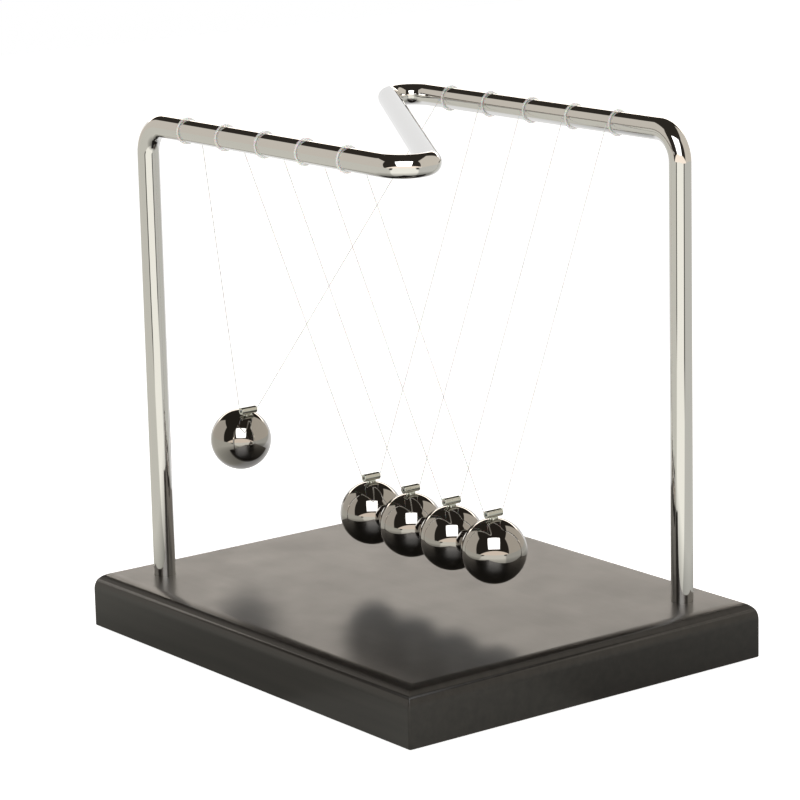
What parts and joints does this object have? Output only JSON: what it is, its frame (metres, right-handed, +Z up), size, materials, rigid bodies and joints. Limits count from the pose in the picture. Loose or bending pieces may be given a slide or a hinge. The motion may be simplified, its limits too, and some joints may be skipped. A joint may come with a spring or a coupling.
{
  "type": "newton's cradle",
  "caption": "Newton's cradle: a row of polished steel balls hung on clear lines from a bent chromed rod, on a black wood base, with the end ball drawn back.",
  "frame": {"origin": "middle of the felt's underside, which the cradle stands on", "axes": "+Z up, +X along the row of balls away from the ball that is drawn back, +Y from the front rail to the rear rail"},
  "size_m": [0.2055, 0.147, 0.1817],
  "materials": {
    "black_lacquered_wood": "satin black lacquer",
    "black_felt": "pressed felt",
    "chromed_steel": "mirror",
    "polished_steel": "mirror",
    "plated_hanger": "bright nickel plate",
    "zinc_steel": "bright zinc plate",
    "clear_plastic_ring": "clear gloss",
    "clear_nylon": "clear gloss"
  },
  "bodies": {
    "frame": {"base_block": "black_lacquered_wood", "base_felt": "black_felt", "frame_rod": "chromed_steel", "frame_screws": "zinc_steel", "frame_washers": "zinc_steel", "clear_ring_front_1": "clear_plastic_ring", "clear_ring_front_2": "clear_plastic_ring", "clear_ring_front_3": "clear_plastic_ring", "clear_ring_front_4": "clear_plastic_ring", "clear_ring_front_5": "clear_plastic_ring", "clear_ring_rear_1": "clear_plastic_ring", "clear_ring_rear_2": "clear_plastic_ring", "clear_ring_rear_3": "clear_plastic_ring", "clear_ring_rear_4": "clear_plastic_ring", "clear_ring_rear_5": "clear_plastic_ring"},
    "pendulum_1": {"ball_1": "polished_steel", "hanger_1": "plated_hanger", "line_1": "clear_nylon"},
    "pendulum_2": {"ball_2": "polished_steel", "hanger_2": "plated_hanger", "line_2": "clear_nylon"},
    "pendulum_3": {"ball_3": "polished_steel", "hanger_3": "plated_hanger", "line_3": "clear_nylon"},
    "pendulum_4": {"ball_4": "polished_steel", "hanger_4": "plated_hanger", "line_4": "clear_nylon"},
    "pendulum_5": {"ball_5": "polished_steel", "hanger_5": "plated_hanger", "line_5": "clear_nylon"}
  },
  "joints": [
    {"name": "ball_1_swing", "type": "hinge", "parent": "frame", "child": "pendulum_1", "pos_m": [-0.0476, 0, 0.17725], "axis": [0, -1, 0], "range_deg": [-45.5, 24.58]},
    {"name": "ball_2_swing", "type": "hinge", "parent": "frame", "child": "pendulum_2", "pos_m": [-0.0253, 0, 0.17725], "axis": [0, -1, 0], "range_deg": [-24.5, 0.08]},
    {"name": "ball_3_swing", "type": "hinge", "parent": "frame", "child": "pendulum_3", "pos_m": [-0.003, 0, 0.17725], "axis": [0, -1, 0], "range_deg": [-0.08, 0.08]},
    {"name": "ball_4_swing", "type": "hinge", "parent": "frame", "child": "pendulum_4", "pos_m": [0.0193, 0, 0.17725], "axis": [0, -1, 0], "range_deg": [-0.08, 0.08]},
    {"name": "ball_5_swing", "type": "hinge", "parent": "frame", "child": "pendulum_5", "pos_m": [0.0416, 0, 0.17725], "axis": [0, -1, 0], "range_deg": [-0.08, 70]}
  ]
}
